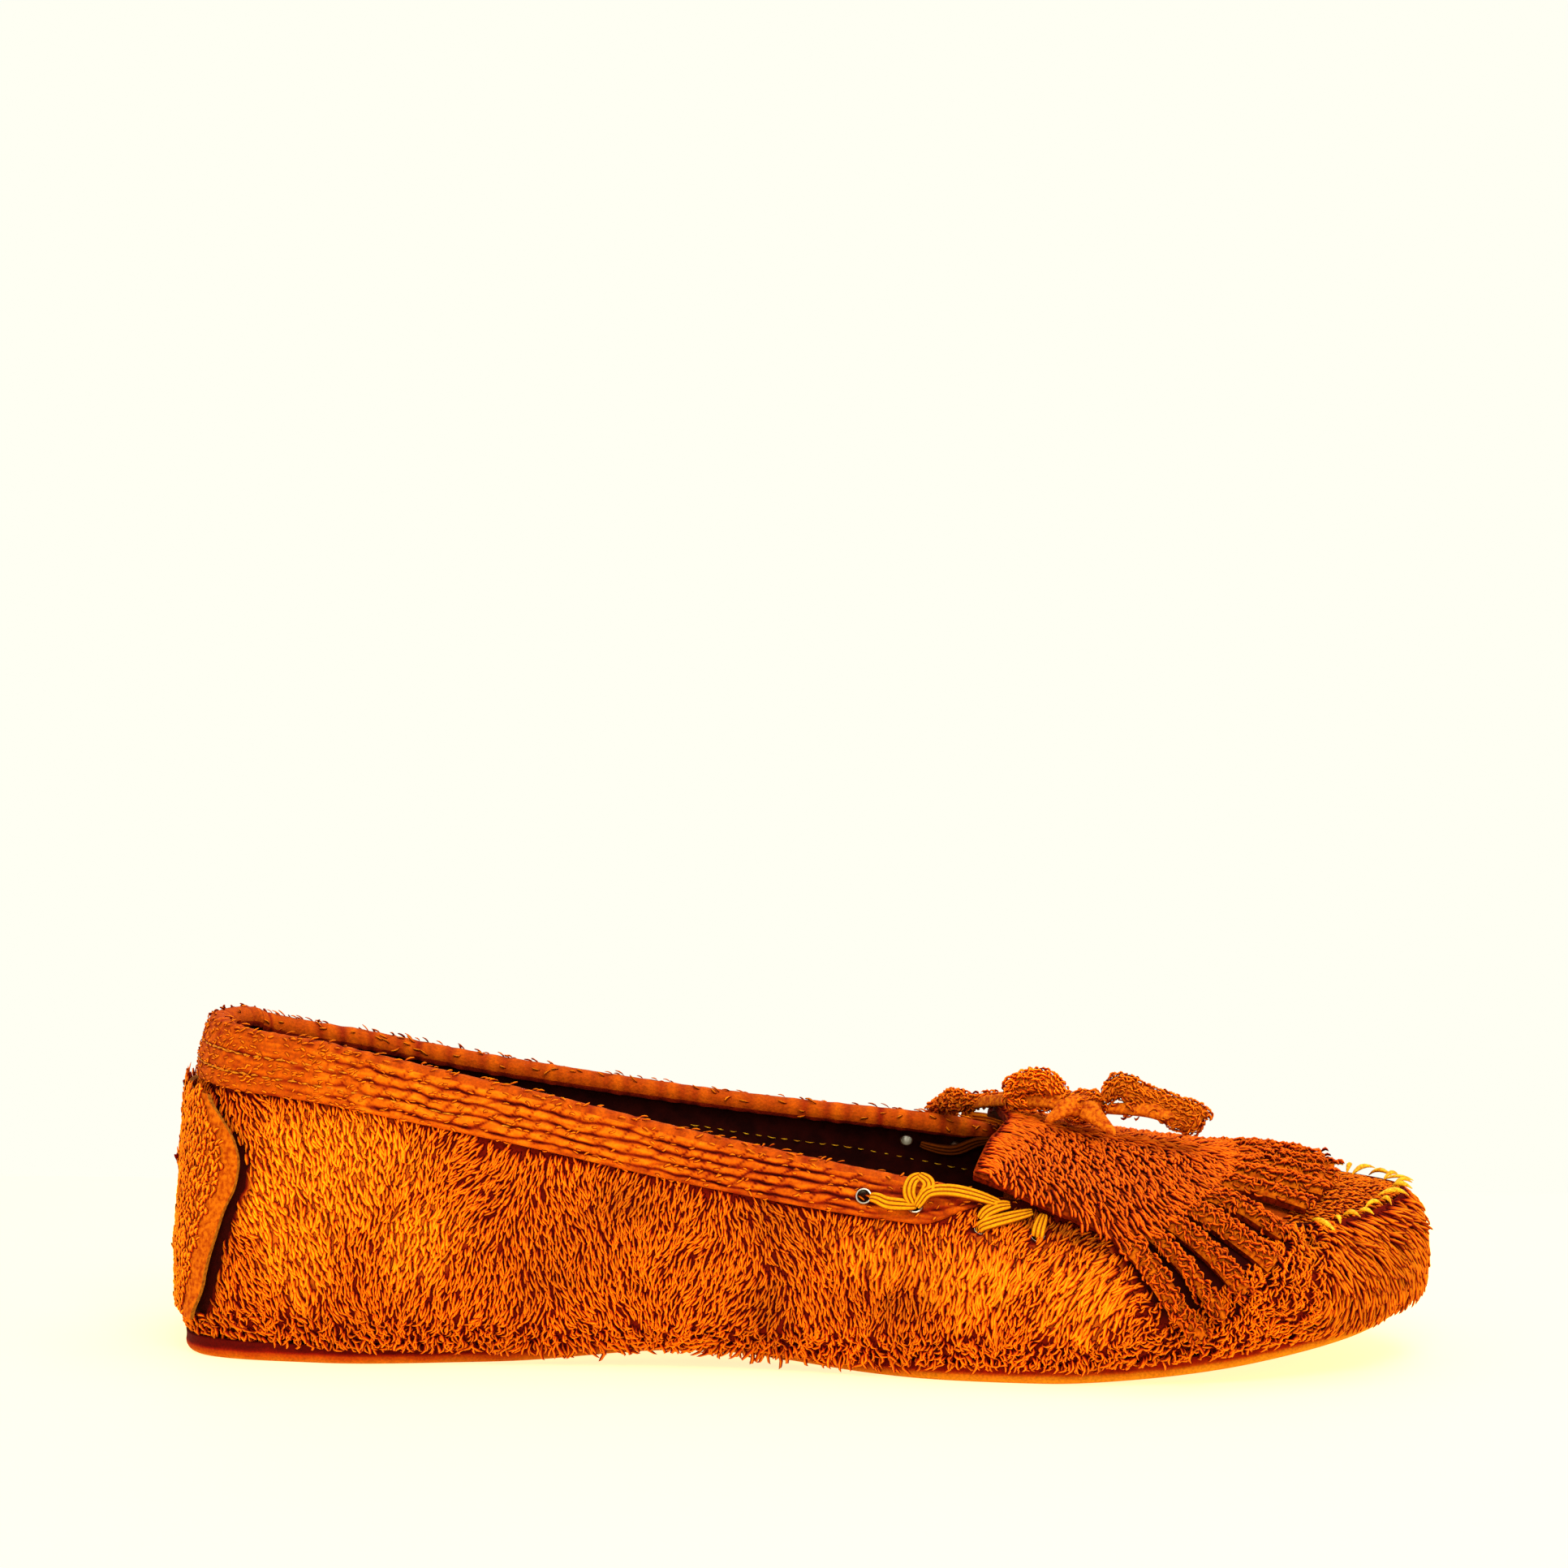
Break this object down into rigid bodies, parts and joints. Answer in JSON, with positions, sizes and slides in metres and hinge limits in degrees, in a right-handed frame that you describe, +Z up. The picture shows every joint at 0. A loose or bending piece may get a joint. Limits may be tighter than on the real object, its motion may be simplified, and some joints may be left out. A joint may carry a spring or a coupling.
{
  "type": "fringed leather moccasin",
  "caption": "Left slip-on moccasin of long-napped suede with a bound collar, whip-stitched toe plug, fringed flap, bow, side lace in eyelets, heel flap and thin rubber sole.",
  "frame": {"origin": "on the floor under the middle of the shoe's plan box", "axes": "+X towards the toe, +Y towards the outer side of the left foot, +Z up"},
  "size_m": [0.2488, 0.091, 0.0654],
  "materials": {
    "suede": "long napped suede, orange tan",
    "suede_flap": "short napped suede, rust",
    "suede_band": "short napped suede, folded",
    "suede_strap": "fluffy suede strap, rust",
    "rubber": "satin moulded rubber, orange brown",
    "insole_leather": "smooth dark brown leather",
    "eyelet_metal": "pressed and plated metal",
    "flat_lace": "flat woven lace, gold"
  },
  "bodies": {
    "root": {"outsole": "rubber", "insole": "insole_leather", "upper": "suede", "plug": "suede", "collar_band": "suede_band", "heel_flap": "suede", "kilty": "suede_flap", "eyelet_near_1": "eyelet_metal", "eyelet_near_2": "eyelet_metal", "eyelet_near_3": "eyelet_metal", "eyelet_near_4": "eyelet_metal", "eyelet_far_1": "eyelet_metal", "eyelet_far_2": "eyelet_metal", "eyelet_far_3": "eyelet_metal", "eyelet_far_4": "eyelet_metal", "lace_near_run": "flat_lace", "lace_near_bar": "flat_lace", "lace_far_run": "flat_lace", "lace_far_bar": "flat_lace", "bow_knot": "suede_strap", "bow_loop_rear": "suede_strap", "bow_loop_front": "suede_strap", "bow_end_far": "suede_strap", "bow_end_near": "suede_strap"}
  },
  "joints": []
}
